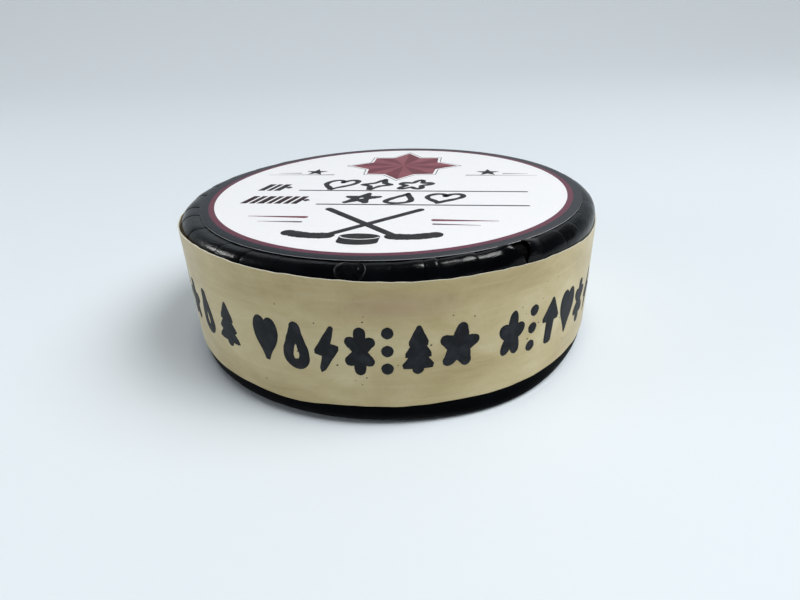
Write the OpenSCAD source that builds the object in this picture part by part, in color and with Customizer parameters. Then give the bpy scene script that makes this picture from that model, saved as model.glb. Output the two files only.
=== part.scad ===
// Dressed hockey puck: a knurled rubber disc in a folded tape wrap, with a paper band
// around its side, a round label on its top face and a small dot stuck on its edge.
// Frame: origin at the middle of the face it rests on, +Z up, front towards -Y, millimetres.

/* [Puck] */
// Diameter of the bare rubber disc
puck_d = 76.2; // [70:0.1:82]
// Thickness of the bare rubber disc
puck_h = 25.4; // [24:0.1:30]
// Radius of the rounding between the side and each flat face
edge_r = 2.2; // [1.5:0.1:3]
// Depth of the diamond knurl on the side
knurl_depth = 0.3; // [0.1:0.05:0.5]
// Knurl points around the side, an even number
knurl_count = 120; // [60:2:144]
// Rows of knurl points up the side
knurl_rows = 12; // [6:1:16]
// Height of the plain strip between each flat face and the knurl
plain_h = 3.6; // [3.2:0.1:5]

/* [Wrap] */
// Thickness of the black tape
wrap_t = 0.28; // [0.1:0.02:0.5]
// Width of the tape margin folded onto each flat face
fold_w = 11; // [6:0.5:14]
// Tabs that each folded margin is cut into
tab_count = 30; // [16:1:36]
// Gap between neighbouring tabs at their inner ends
tab_gap = 0.6; // [0.2:0.1:1.5]
// Width of the uncut rim between the lower notches and the rounded edge
uncut_w = 0.5; // [0.2:0.1:2]
// Gap of the one notch that stands open, measured at its inner end
open_gap = 11; // [4:0.5:12]
// Direction of the open notch, in degrees from +X
open_az = -60; // [-180:1:180]
// Width of the slit where the two ends of the tape meet
joint_w = 0.4; // [0.2:0.1:1]
// Direction of that slit, in degrees from +X
joint_az = 126; // [-180:1:180]

/* [Band] */
// Thickness of the paper band
band_t = 0.18; // [0.1:0.02:0.4]
// Height of the lower edge of the band
band_low = 3.9; // [3:0.05:5]
// Height of the upper edge of the band, at its middle
band_high = 24.4; // [18:0.1:24.4]
// Slant of the upper edge, in degrees
band_slant = 1.8; // [0:0.05:2]
// Direction where the end of the band laps over its start, in degrees from +X
lap_az = 40; // [30:1:60]
// Length of the lap, in degrees
lap_deg = 14; // [8:1:20]

/* [Label] */
// Diameter of the top label
label_d = 71; // [60:0.5:71]
// Thickness of the top label
label_t = 0.12; // [0.1:0.02:0.3]
// How far the label sits to the right of the puck's axis
label_x = 0.55; // [-1:0.05:1]
// How far it sits behind the axis
label_y = 0.5; // [-1:0.05:1]

/* [Edge dot] */
// Diameter of the dot
dot_d = 4.8; // [3:0.1:6]
// Thickness of the dot
dot_t = 0.12; // [0.1:0.02:0.2]
// Direction of the dot, in degrees from +X
dot_az = -98; // [-180:1:180]

/* [Hidden] */
$fn = 96;

puck_r = puck_d / 2;
wrap_r = puck_r + wrap_t;
wrap_h = puck_h + 2 * wrap_t;
wrap_edge_r = edge_r + wrap_t;
fold_r = wrap_r - fold_w;
corner_r = puck_r - edge_r;
corner_z = wrap_h - wrap_edge_r;
slack = 1;

rubber_black = [0.05, 0.05, 0.055];
tape_black = [0.10, 0.11, 0.13];
band_tan = [0.62, 0.58, 0.44];
label_white = [0.96, 0.96, 0.96];
dot_black = [0.20, 0.21, 0.23];

// ---- puck core: stacked rings of points, wavy where the knurl is ----
EDGE_STEPS = 4;

// Radius and height of each ring of the rounded lower edge, from the flat face upwards
function edge_ring(k) =
    let (a = 90 * k / EDGE_STEPS)
    [corner_r + edge_r * sin(a), edge_r - edge_r * cos(a)];

// Radius and height of every ring, from the lower flat face to the upper one; the third
// number says whether the ring belongs to the knurl
function core_rings() =
    let (pitch = (puck_h - 2 * plain_h) / (knurl_rows + 1))
    concat(
        [for (k = [0 : EDGE_STEPS]) concat(edge_ring(k), [0])],
        [[puck_r, plain_h, 0]],
        [for (i = [1 : knurl_rows]) [puck_r, plain_h + i * pitch, 1]],
        [[puck_r, puck_h - plain_h, 0]],
        [for (k = [EDGE_STEPS : -1 : 0]) [edge_ring(k)[0], puck_h - edge_ring(k)[1], 0]]);

// Every second point of a knurl ring is a valley, staggered from ring to ring
function is_valley(i, j) = (i + j) % 2 == 1;

function core_point(ring, i, j) =
    let (r = ring[0] - (ring[2] == 1 && is_valley(i, j) ? knurl_depth : 0))
    let (a = 360 * j / knurl_count)
    [r * cos(a), r * sin(a), ring[1]];

// The two triangles of one cell; the shared side joins the two valleys
function core_cell(i, j) =
    let (n = knurl_count)
    let (a = i * n + j)
    let (b = i * n + (j + 1) % n)
    let (c = a + n)
    let (d = b + n)
    is_valley(i, j) ? [[a, c, d], [a, d, b]] : [[a, c, b], [b, c, d]];

module puck_core() {
    rings = core_rings();
    n = knurl_count;
    last = len(rings) - 1;
    low_middle = len(rings) * n;
    high_middle = low_middle + 1;
    points = concat(
        [for (i = [0 : last], j = [0 : n - 1]) core_point(rings[i], i, j)],
        [[0, 0, 0], [0, 0, puck_h]]);
    faces = concat(
        [for (i = [0 : last - 1], j = [0 : n - 1], cell = core_cell(i, j)) cell],
        [for (j = [0 : n - 1]) [low_middle, j, (j + 1) % n]],
        [for (j = [0 : n - 1]) [high_middle, last * n + (j + 1) % n, last * n + j]]);
    color(rubber_black)
    translate([0, 0, wrap_t])
    polyhedron(points = points, faces = faces);
}

// ---- wrap: one turn of tape whose two margins are cut into tabs and folded flat ----

// Half of the outline of a disc with rounded edges
module disc_outline(r, h, round_r) {
    square([r - round_r, h]);
    translate([0, round_r])
    square([r, h - 2 * round_r]);
    translate([r - round_r, round_r])
    circle(round_r);
    translate([r - round_r, h - round_r])
    circle(round_r);
}

module wrap_shell() {
    rotate_extrude()
    difference() {
        disc_outline(wrap_r, wrap_h, wrap_edge_r);
        translate([0, wrap_t])
        disc_outline(puck_r, puck_h, edge_r);
        square([fold_r, wrap_h]);
    }
}

// A vertical wedge that opens inwards: gap wide at the inner ends of the tabs
module notch(az, gap, tip_r) {
    rotate(az)
    linear_extrude(wrap_edge_r + slack)
    polygon([
        [fold_r - slack, -gap / 2],
        [tip_r, 0],
        [fold_r - slack, gap / 2]
    ]);
}

module notch_row(tip_r) {
    for (k = [0 : tab_count - 1])
        notch(open_az + 360 * k / tab_count, tab_gap, tip_r);
}

module edge_wrap() {
    color(tape_black)
    difference() {
        wrap_shell();
        translate([0, 0, corner_z])
        notch_row(wrap_r - wrap_edge_r / 2);
        translate([0, 0, corner_z])
        notch(open_az, open_gap, wrap_r);
        translate([0, 0, -slack])
        notch_row(corner_r - uncut_w);
        rotate(joint_az)
        translate([fold_r - slack, -joint_w / 2, -slack])
        cube([fold_w + 2 * slack, joint_w, wrap_h + 2 * slack]);
    }
}

// ---- side band: a paper strip round the wrap, its end lapped over its start ----
module band_ring(inner_r, turn_deg) {
    height = band_high + puck_r * sin(band_slant) - band_low;
    rotate_extrude(angle = turn_deg)
    translate([inner_r, band_low])
    square([band_t, height]);
}

module side_band() {
    color(band_tan)
    difference() {
        union() {
            band_ring(wrap_r, 360);
            rotate(lap_az)
            band_ring(wrap_r + band_t, lap_deg);
        }
        translate([0, 0, band_high])
        rotate([0, band_slant, 0])
        translate([-puck_d, -puck_d, 0])
        cube([2 * puck_d, 2 * puck_d, puck_h]);
    }
}

// ---- top label: a paper disc on the folded tabs ----
module top_label() {
    color(label_white)
    translate([label_x, label_y, wrap_h])
    cylinder(d = label_d, h = label_t);
}

// ---- edge dot: a round patch draped over the rounded upper edge ----
DOT_LOWEST_DEG = 18;

module edge_shell() {
    outer = wrap_edge_r + dot_t;
    rotate_extrude()
    translate([corner_r, corner_z])
    intersection() {
        difference() {
            circle(outer);
            circle(wrap_edge_r);
        }
        polygon([
            [0, 0],
            [2 * outer * cos(DOT_LOWEST_DEG), 2 * outer * sin(DOT_LOWEST_DEG)],
            [2 * outer, 2 * outer],
            [0, 2 * outer]
        ]);
    }
}

module edge_dot() {
    color(dot_black)
    intersection() {
        edge_shell();
        rotate(dot_az)
        translate([corner_r, 0, corner_z])
        rotate([0, 45, 0])
        cylinder(d = dot_d, h = 2 * wrap_edge_r);
    }
}

puck_core();
edge_wrap();
side_band();
top_label();
edge_dot();
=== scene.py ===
"""Looks of a dressed hockey puck.

A rubber disc is wrapped in black tape whose margins are cut into tabs and folded over both
edges. A tan paper band with marker doodles goes round the side, a round printed label covers
the top, and a small glossy dot sits on the upper edge.

Lengths in the classes are millimetres, angles are degrees. MM turns lengths into metres.
"""

import logging
from dataclasses import dataclass, field
from enum import Enum, IntEnum
from typing import Callable

import bpy
import numpy as np
from mathutils import Matrix, Vector


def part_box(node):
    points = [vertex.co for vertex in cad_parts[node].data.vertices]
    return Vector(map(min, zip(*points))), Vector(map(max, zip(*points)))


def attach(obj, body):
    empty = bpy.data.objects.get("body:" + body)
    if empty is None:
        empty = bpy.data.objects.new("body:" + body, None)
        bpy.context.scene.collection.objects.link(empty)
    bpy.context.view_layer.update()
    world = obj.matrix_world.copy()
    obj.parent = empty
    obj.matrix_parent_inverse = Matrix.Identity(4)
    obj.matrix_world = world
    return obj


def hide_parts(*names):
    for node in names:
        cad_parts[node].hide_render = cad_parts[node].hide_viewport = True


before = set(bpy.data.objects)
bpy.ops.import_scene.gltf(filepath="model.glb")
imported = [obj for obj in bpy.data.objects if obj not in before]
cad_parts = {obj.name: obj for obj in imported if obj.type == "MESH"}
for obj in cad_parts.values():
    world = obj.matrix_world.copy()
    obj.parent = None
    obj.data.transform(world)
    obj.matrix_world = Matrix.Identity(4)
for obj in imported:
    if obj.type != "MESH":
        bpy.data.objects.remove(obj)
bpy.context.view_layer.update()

LOG = logging.getLogger("puck")
MM = 0.001
BODY = "root"
Array = np.ndarray


def node_box_mm(node: str) -> tuple[Array, Array]:
    """Lowest and highest corner of a CAD node, in millimetres."""
    low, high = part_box(node)
    return np.array(low) / MM, np.array(high) / MM


# ---------------------------------------------------------------- meshes


def smoothstep(x: Array, start: float, end: float) -> Array:
    """0 before start, 1 after end, and 3t^2 - 2t^3 between them."""
    t = np.clip((x - start) / (end - start), 0.0, 1.0)
    return t * t * (3.0 - 2.0 * t)


def ripple(x: Array, waves: list[int], seed: int) -> Array:
    """A periodic wobble of about -1 to 1: a mean of sines of whole wave numbers of x.

    Args:
        x: Angles in radians.
        waves: How many times each sine repeats in a full turn.
        seed: Chooses the phases.

    Returns:
        The wobble at each x.
    """
    phases = np.random.default_rng(seed).uniform(0.0, 2.0 * np.pi, len(waves))
    return sum(np.sin(n * x + p) for n, p in zip(waves, phases)) / np.sqrt(len(waves))


def around_axis(r: Array, angle: Array, z: Array) -> Array:
    """Points (r cos a, r sin a, z) round the puck's axis, from arrays that fit each other's shape."""
    return np.stack(np.broadcast_arrays(r * np.cos(angle), r * np.sin(angle), z), -1)


def turn_from(degrees: Array, start_deg: float) -> Array:
    """How far directions lie from a start, from -180 to 180 degrees."""
    return (degrees - start_deg + 180.0) % 360.0 - 180.0


def put_in_scene(name: str, data: bpy.types.ID) -> bpy.types.Object:
    """A new object for some data, linked to the scene.

    Args:
        name: Name of the object.
        data: Mesh, lamp or camera data.

    Returns:
        The object.
    """
    thing = bpy.data.objects.new(name, data)
    bpy.context.scene.collection.objects.link(thing)
    return thing


@dataclass
class Shape:
    """Points in millimetres, with quads, triangles and a finish number for each face."""

    points: Array
    quads: Array = field(default_factory=lambda: np.zeros((0, 4), int))
    tris: Array = field(default_factory=lambda: np.zeros((0, 3), int))
    quad_finish: Array | None = None
    tri_finish: Array | None = None
    uv: Array | None = None

    def __post_init__(self) -> None:
        """Fills in finish number 0 and a plain UV where none is given."""
        if self.quad_finish is None:
            self.quad_finish = np.zeros(len(self.quads), int)
        if self.tri_finish is None:
            self.tri_finish = np.zeros(len(self.tris), int)
        if self.uv is None:
            self.uv = self.points[:, :2].copy()


def join_shapes(shapes: list[Shape]) -> Shape:
    """One shape that holds all the given ones side by side.

    Args:
        shapes: The shapes, each with its own point numbers.

    Returns:
        The joined shape, with the faces numbered anew.
    """
    starts = np.cumsum([0] + [len(s.points) for s in shapes[:-1]])
    return Shape(
        np.concatenate([s.points for s in shapes]),
        np.concatenate([s.quads + n for s, n in zip(shapes, starts)]),
        np.concatenate([s.tris + n for s, n in zip(shapes, starts)]),
        np.concatenate([s.quad_finish for s in shapes]),
        np.concatenate([s.tri_finish for s in shapes]),
        np.concatenate([s.uv for s in shapes]),
    )


def grid_quads(rows: int, columns: int, wrap_rows: bool = False, wrap_columns: bool = False) -> Array:
    """Quads of a grid whose point (i, j) has number i * columns + j.

    Args:
        rows: Points along the first parameter.
        columns: Points along the second parameter.
        wrap_rows: Joins the last row to the first.
        wrap_columns: Joins the last column to the first.

    Returns:
        An array of quads that face along (first direction) x (second direction).
    """
    i = np.arange(rows if wrap_rows else rows - 1)[:, None]
    j = np.arange(columns if wrap_columns else columns - 1)[None, :]
    i_next, j_next = (i + 1) % rows, (j + 1) % columns
    corners = [i * columns + j, i_next * columns + j, i_next * columns + j_next, i * columns + j_next]
    return np.stack(np.broadcast_arrays(*corners), -1).reshape(-1, 4)


def thick_sheet(outer: Array, inner: Array, uv: Array, closed: bool = False, rim_finish: int = 0) -> Shape:
    """A closed sheet between two grids of points: its two faces, and rims that join them.

    Args:
        outer: Points (rows, columns, 3) of the face that is seen.
        inner: Points of the hidden face, in the same order.
        uv: Distances (rows, columns, 2) along the sheet, in millimetres.
        closed: Whether the rows close into a ring, so that it has no end rims.
        rim_finish: Finish number of the rims.

    Returns:
        The sheet, whose outer face points along (row direction) x (column direction).
    """
    rows, columns = outer.shape[:2]
    count = rows * columns
    face = grid_quads(rows, columns, wrap_rows=closed)
    i = np.arange(rows if closed else rows - 1)
    i_next = (i + 1) % rows
    low, low_next = i * columns, i_next * columns
    high, high_next = low + columns - 1, low_next + columns - 1
    rims = [
        np.stack([low, low + count, low_next + count, low_next], -1),
        np.stack([high_next, high_next + count, high + count, high], -1),
    ]
    if not closed:
        j = np.arange(columns - 1)
        end = (rows - 1) * columns
        rims.append(np.stack([j + 1, j + 1 + count, j + count, j], -1))
        rims.append(np.stack([end + j, end + j + count, end + j + 1 + count, end + j + 1], -1))
    rim = np.concatenate(rims)
    quads = np.concatenate([face, face[:, ::-1] + count, rim])
    finish = np.concatenate([np.zeros(2 * len(face), int), np.full(len(rim), rim_finish)])
    points = np.concatenate([outer.reshape(-1, 3), inner.reshape(-1, 3)])
    flat_uv = uv.reshape(-1, 2)
    return Shape(points, quads, quad_finish=finish, uv=np.concatenate([flat_uv, flat_uv]))


def capped_tube(rings: Array, start: Array, end: Array, finish: int = 0) -> Shape:
    """Rings of points carried along a path, with a point that closes each end.

    Args:
        rings: Points (rings, points in a ring, 3); each ring turns so that the path's
            direction x the ring's direction points outwards.
        start: The point that closes the first ring.
        end: The point that closes the last ring.
        finish: Finish number of every face.

    Returns:
        The closed tube.
    """
    count, around = rings.shape[:2]
    quads = grid_quads(count, around, wrap_columns=True)
    j = np.arange(around)
    j_next = (j + 1) % around
    last = (count - 1) * around
    pole = count * around
    tris = np.concatenate([
        np.stack([np.full(around, pole), j, j_next], -1),
        np.stack([np.full(around, pole + 1), last + j_next, last + j], -1),
    ])
    points = np.concatenate([rings.reshape(-1, 3), [start], [end]])
    return Shape(points, quads, tris, np.full(len(quads), finish), np.full(len(tris), finish))


def make_piece(name: str, shape: Shape, finishes: list[bpy.types.Material],
               replaces: str | None = None, sharp_deg: float = 35.0) -> bpy.types.Object:
    """Puts a shape into Blender as one piece, and tells the frame about it.

    Args:
        name: The piece's name.
        shape: Its points and faces.
        finishes: Its materials, in the order of the finish numbers.
        replaces: The CAD node that it stands for, if any.
        sharp_deg: Edges that turn more than this stay sharp.

    Returns:
        The new object.
    """
    mesh = bpy.data.meshes.new(name)
    mesh.from_pydata((shape.points * MM).tolist(), [], shape.quads.tolist() + shape.tris.tolist())
    for material in finishes:
        mesh.materials.append(material)
    finish = np.concatenate([shape.quad_finish, shape.tri_finish]).astype(np.int32)
    mesh.polygons.foreach_set("material_index", finish)
    mesh.polygons.foreach_set("use_smooth", np.ones(len(finish), bool))
    corners = np.zeros(len(mesh.loops), np.int32)
    mesh.loops.foreach_get("vertex_index", corners)
    layer = mesh.uv_layers.new(name="surface")
    layer.data.foreach_set("uv", shape.uv[corners].astype(np.float32).ravel())
    mesh.set_sharp_from_angle(angle=np.radians(sharp_deg))
    mesh.validate()
    piece = put_in_scene(name, mesh)
    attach(piece, BODY)
    if replaces:
        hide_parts(replaces)
    LOG.info("%s: %d points, %d faces", name, len(shape.points), len(finish))
    return piece


# ---------------------------------------------------------------- finishes

Colour = tuple[float, float, float]


class Nodes:
    """A material under construction, with short calls for the nodes that the finishes share."""

    def __init__(self, name: str) -> None:
        """Starts a material that has only a Principled shader and an output.

        Args:
            name: Name of the material.
        """
        self.material = bpy.data.materials.new(name)
        self.material.use_nodes = True
        self.tree = self.material.node_tree
        self.tree.nodes.clear()
        self.shader = self.tree.nodes.new("ShaderNodeBsdfPrincipled")
        output = self.tree.nodes.new("ShaderNodeOutputMaterial")
        self.link(self.shader.outputs["BSDF"], output.inputs["Surface"])
        self.place = self.tree.nodes.new("ShaderNodeTexCoord")

    def link(self, source: bpy.types.NodeSocket, target: bpy.types.NodeSocket) -> None:
        """Joins two sockets."""
        self.tree.links.new(source, target)

    def feed(self, name: str, source: bpy.types.NodeSocket) -> None:
        """Joins a socket to one of the shader's own."""
        self.link(source, self.shader.inputs[name])

    def constants(self, **values: float | Colour) -> None:
        """Sets the shader's own sockets; a name's underscores stand for spaces.

        Args:
            **values: A number or a colour for each socket.
        """
        for name, value in values.items():
            socket = self.shader.inputs[name.replace("_", " ")]
            socket.default_value = (*value, 1.0) if isinstance(value, tuple) else value

    def stretched(self, coordinates: str, scale: Colour, turn_deg: float = 0.0) -> bpy.types.NodeSocket:
        """Object or UV coordinates, scaled and turned about Z.

        Args:
            coordinates: "Object" or "UV".
            scale: Factor along each axis.
            turn_deg: Turn about Z.

        Returns:
            The new coordinates.
        """
        mapping = self.tree.nodes.new("ShaderNodeMapping")
        mapping.inputs["Scale"].default_value = scale
        mapping.inputs["Rotation"].default_value = (0.0, 0.0, np.radians(turn_deg))
        self.link(self.place.outputs[coordinates], mapping.inputs["Vector"])
        return mapping.outputs["Vector"]

    def reach(self, coordinates: str, middle: tuple[float, float], size: tuple[float, float]) -> bpy.types.NodeSocket:
        """How far a place is from a middle, as a share of an oval's two half sizes.

        Args:
            coordinates: "Object" or "UV".
            middle: Middle of the oval.
            size: Its half sizes.

        Returns:
            The share: 0 in the middle and 1 on the oval.
        """
        mapping = self.tree.nodes.new("ShaderNodeMapping")
        mapping.inputs["Scale"].default_value = (1.0 / size[0], 1.0 / size[1], 1.0)
        mapping.inputs["Location"].default_value = (-middle[0] / size[0], -middle[1] / size[1], 0.0)
        self.link(self.place.outputs[coordinates], mapping.inputs["Vector"])
        length = self.tree.nodes.new("ShaderNodeVectorMath")
        length.operation = "LENGTH"
        self.link(mapping.outputs["Vector"], length.inputs[0])
        return length.outputs["Value"]

    def noise(self, vector: bpy.types.NodeSocket, scale: float, detail: float = 3.0,
              roughness: float = 0.5, distortion: float = 0.0) -> bpy.types.NodeSocket:
        """A noise pattern from 0 to 1.

        Args:
            vector: Coordinates to draw it on.
            scale: Features per unit of length.
            detail: Number of finer layers.
            roughness: Strength of the finer layers.
            distortion: How much it is stirred.

        Returns:
            The pattern.
        """
        noise = self.tree.nodes.new("ShaderNodeTexNoise")
        noise.inputs["Scale"].default_value = scale
        noise.inputs["Detail"].default_value = detail
        noise.inputs["Roughness"].default_value = roughness
        noise.inputs["Distortion"].default_value = distortion
        self.link(vector, noise.inputs["Vector"])
        return noise.outputs["Fac"]

    def ramp(self, factor: bpy.types.NodeSocket, stops: list[tuple[float, Colour]]) -> bpy.types.NodeSocket:
        """Colours along a factor.

        Args:
            factor: Where along the colours each place lies.
            stops: Positions and their colours.

        Returns:
            The colour.
        """
        ramp = self.tree.nodes.new("ShaderNodeValToRGB")
        elements = ramp.color_ramp.elements
        while len(elements) < len(stops):
            elements.new(0.5)
        for element, (position, colour) in zip(elements, stops):
            element.position = position
            element.color = (*colour, 1.0)
        self.link(factor, ramp.inputs["Fac"])
        return ramp.outputs["Color"]

    def mix(self, factor: bpy.types.NodeSocket, first: bpy.types.NodeSocket, second: Colour) -> bpy.types.NodeSocket:
        """The first colour mixed with a second one where the factor is high.

        Args:
            factor: Share of the second colour.
            first: Colour where the factor is 0.
            second: Colour where it is 1.

        Returns:
            The mixed colour.
        """
        mix = self.tree.nodes.new("ShaderNodeMix")
        mix.data_type = "RGBA"
        self.link(factor, mix.inputs[0])
        self.link(first, mix.inputs[6])
        mix.inputs[7].default_value = (*second, 1.0)
        return mix.outputs[2]

    def span(self, factor: bpy.types.NodeSocket, low: float, high: float,
             start: float = 0.0, end: float = 1.0) -> bpy.types.NodeSocket:
        """The factor's span start to end, carried to low to high.

        Args:
            factor: The number to carry over.
            low: Result at the start.
            high: Result at the end.
            start: First end of the span.
            end: Other end of the span.

        Returns:
            The carried number.
        """
        span = self.tree.nodes.new("ShaderNodeMapRange")
        for name, value in (("From Min", start), ("From Max", end), ("To Min", low), ("To Max", high)):
            span.inputs[name].default_value = value
        self.link(factor, span.inputs["Value"])
        return span.outputs["Result"]

    def bump(self, height: bpy.types.NodeSocket, strength: float, depth_mm: float,
             after: bpy.types.NodeSocket | None = None) -> bpy.types.NodeSocket:
        """A relief of the given depth, on top of an earlier one.

        Args:
            height: Pattern that gives the height.
            strength: How strongly it shows.
            depth_mm: Height difference from 0 to 1.
            after: An earlier relief to add it to.

        Returns:
            The bent normal.
        """
        bump = self.tree.nodes.new("ShaderNodeBump")
        bump.inputs["Strength"].default_value = strength
        bump.inputs["Distance"].default_value = depth_mm * MM
        self.link(height, bump.inputs["Height"])
        if after is not None:
            self.link(after, bump.inputs["Normal"])
        return bump.outputs["Normal"]


@dataclass(frozen=True)
class TapeFinish:
    """Black tape: nearly black with a cool cast, satin, with fine slanted creases."""

    name: str = "black_tape"
    dark: Colour = (0.0002, 0.0003, 0.0006)
    light: Colour = (0.0014, 0.0018, 0.0030)
    shine: float = 0.13
    roughness: tuple[float, float] = (0.15, 0.30)
    crease_mm: float = 0.1

    def make(self) -> bpy.types.Material:
        """Builds the material.

        Returns:
            The material, ready to be put on a piece.
        """
        nodes = Nodes(self.name)
        cloudy = nodes.noise(nodes.place.outputs["Object"], 160.0, 4.0)
        nodes.feed("Base Color", nodes.ramp(cloudy, [(0.35, self.dark), (0.7, self.light)]))
        nodes.feed("Roughness", nodes.span(cloudy, *self.roughness, 0.3, 0.7))
        nodes.constants(Specular_IOR_Level=self.shine)
        slanted = nodes.stretched("UV", (0.35, 1.6, 1.0), 32.0)
        creases = nodes.noise(slanted, 1.1, 3.0, 0.55, 0.6)
        grain = nodes.noise(nodes.place.outputs["Object"], 2600.0, 2.0)
        relief = nodes.bump(creases, 0.55, self.crease_mm)
        nodes.feed("Normal", nodes.bump(grain, 0.25, 0.012, relief))
        return nodes.material


@dataclass(frozen=True)
class BandFinish:
    """Masking paper: tan, cloudy and streaked along its length, with crepe ridges and specks."""

    name: str = "tan_paper"
    brown: Colour = (0.405, 0.315, 0.145)
    tan: Colour = (0.525, 0.435, 0.228)
    pale: Colour = (0.64, 0.565, 0.35)
    rubbed: Colour = (0.43, 0.30, 0.19)
    rubbed_at: tuple[float, float] = (183.0, 20.6)
    rubbed_size: tuple[float, float] = (11.0, 2.6)
    speck: Colour = (0.13, 0.11, 0.07)
    crepe_mm: float = 0.03

    def make(self) -> bpy.types.Material:
        """Builds the material.

        Returns:
            The material, ready to be put on a piece.
        """
        nodes = Nodes(self.name)
        clouds = nodes.noise(nodes.stretched("UV", (0.06, 0.11, 1.0)), 1.0, 5.0, 0.6, 0.5)
        colour = nodes.ramp(clouds, [(0.3, self.brown), (0.52, self.tan), (0.75, self.pale)])
        streaks = nodes.noise(nodes.stretched("UV", (0.05, 1.5, 1.0)), 1.0, 3.0)
        colour = nodes.mix(nodes.span(streaks, 0.0, 0.35, 0.55, 0.8), colour, self.pale)
        fibres = nodes.noise(nodes.stretched("UV", (1.6, 0.9, 1.0)), 1.6, 4.0, 0.7)
        colour = nodes.mix(nodes.span(fibres, 0.0, 0.3, 0.5, 0.85), colour, self.brown)
        specks = nodes.noise(nodes.stretched("UV", (1.0, 1.0, 1.0)), 3.4, 1.0)
        colour = nodes.mix(nodes.span(specks, 0.0, 0.75, 0.74, 0.8), colour, self.speck)
        rubbed = nodes.reach("UV", self.rubbed_at, self.rubbed_size)
        colour = nodes.mix(nodes.span(rubbed, 0.55, 0.0, 0.1, 1.0), colour, self.rubbed)
        nodes.feed("Base Color", colour)
        nodes.feed("Roughness", nodes.span(clouds, 0.42, 0.6))
        nodes.constants(Sheen_Weight=0.3, Sheen_Roughness=0.35)
        crepe = nodes.noise(nodes.stretched("UV", (2.6, 0.35, 1.0)), 1.0, 4.0, 0.6)
        relief = nodes.bump(crepe, 0.4, self.crepe_mm)
        nodes.feed("Normal", nodes.bump(fibres, 0.2, 0.02, relief))
        return nodes.material


@dataclass(frozen=True)
class PaperFinish:
    """Coated paper in one printed colour, with a faint grain in the print and the surface."""

    name: str
    colour: Colour
    worn: Colour
    roughness: float = 0.45
    shine: float = 0.5
    grain_mm: float = 0.006

    def make(self) -> bpy.types.Material:
        """Builds the material.

        Returns:
            The material, ready to be put on a piece.
        """
        nodes = Nodes(self.name)
        grain = nodes.noise(nodes.place.outputs["Object"], 1500.0, 4.0, 0.65)
        patches = nodes.noise(nodes.place.outputs["Object"], 90.0, 3.0)
        colour = nodes.ramp(grain, [(0.4, self.colour), (0.8, self.worn)])
        nodes.feed("Base Color", nodes.mix(nodes.span(patches, 0.0, 0.5, 0.4, 0.8), colour, self.worn))
        nodes.feed("Roughness", nodes.span(patches, self.roughness - 0.05, self.roughness + 0.08))
        nodes.constants(Specular_IOR_Level=self.shine)
        nodes.feed("Normal", nodes.bump(grain, 0.3, self.grain_mm))
        return nodes.material


@dataclass(frozen=True)
class InkFinish:
    """Ink: dark, a little lighter where it is thin, and slightly rough."""

    name: str
    full: Colour
    thin: Colour
    roughness: float = 0.5
    patch_scale: float = 700.0

    def make(self) -> bpy.types.Material:
        """Builds the material.

        Returns:
            The material, ready to be put on a piece.
        """
        nodes = Nodes(self.name)
        cover = nodes.noise(nodes.place.outputs["Object"], self.patch_scale, 4.0, 0.6)
        nodes.feed("Base Color", nodes.ramp(cover, [(0.45, self.full), (0.75, self.thin)]))
        nodes.feed("Roughness", nodes.span(cover, self.roughness - 0.1, self.roughness + 0.15))
        nodes.feed("Normal", nodes.bump(cover, 0.3, 0.02))
        nodes.constants(Specular_IOR_Level=0.2)
        return nodes.material


@dataclass(frozen=True)
class RubberFinish:
    """Moulded rubber: matt black with a pitted grain and faint scuffs; its black is darker than rubber's own, painted
    shade for the open notch where the core shows.
    """

    name: str = "vulcanised_rubber"
    # Darker than rubber's own black: painted shade for the gap of the open notch.
    black: Colour = (0.0012, 0.0012, 0.0014)
    scuffed: Colour = (0.006, 0.006, 0.0065)

    def make(self) -> bpy.types.Material:
        """Builds the material.

        Returns:
            The material, ready to be put on a piece.
        """
        nodes = Nodes(self.name)
        place = nodes.place.outputs["Object"]
        scuffs = nodes.noise(nodes.stretched("Object", (60.0, 340.0, 200.0), 25.0), 1.0, 5.0, 0.65)
        nodes.feed("Base Color", nodes.ramp(scuffs, [(0.45, self.black), (0.8, self.scuffed)]))
        nodes.feed("Roughness", nodes.span(scuffs, 0.55, 0.75))
        nodes.constants(Specular_IOR_Level=0.02)
        pits = nodes.noise(place, 1400.0, 3.0, 0.6)
        swirls = nodes.noise(place, 260.0, 2.0)
        relief = nodes.bump(swirls, 0.25, 0.05)
        nodes.feed("Normal", nodes.bump(pits, 0.5, 0.03, relief))
        return nodes.material


@dataclass(frozen=True)
class DotFinish:
    """A thin glossy film, as dark as the tape under it, with smears."""

    name: str = "clear_dot"
    film: Colour = (0.0004, 0.0005, 0.0008)
    smear: Colour = (0.0025, 0.003, 0.004)

    def make(self) -> bpy.types.Material:
        """Builds the material.

        Returns:
            The material, ready to be put on a piece.
        """
        nodes = Nodes(self.name)
        smears = nodes.noise(nodes.place.outputs["Object"], 900.0, 3.0, 0.6, 1.0)
        nodes.feed("Base Color", nodes.ramp(smears, [(0.45, self.film), (0.8, self.smear)]))
        nodes.feed("Roughness", nodes.span(smears, 0.2, 0.34))
        nodes.constants(Specular_IOR_Level=0.13)
        nodes.feed("Normal", nodes.bump(smears, 0.2, 0.012))
        return nodes.material


@dataclass(frozen=True)
class FloorFinish:
    """The pale floor that the puck stands on."""

    name: str = "floor"
    pale: Colour = (0.785, 0.85, 0.895)

    def make(self) -> bpy.types.Material:
        """Builds the material.

        Returns:
            The material of the floor.
        """
        nodes = Nodes(self.name)
        nodes.constants(Base_Color=self.pale, Roughness=0.6, Specular_IOR_Level=0.25)
        return nodes.material


# ---------------------------------------------------------------- the puck's own sizes


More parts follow.
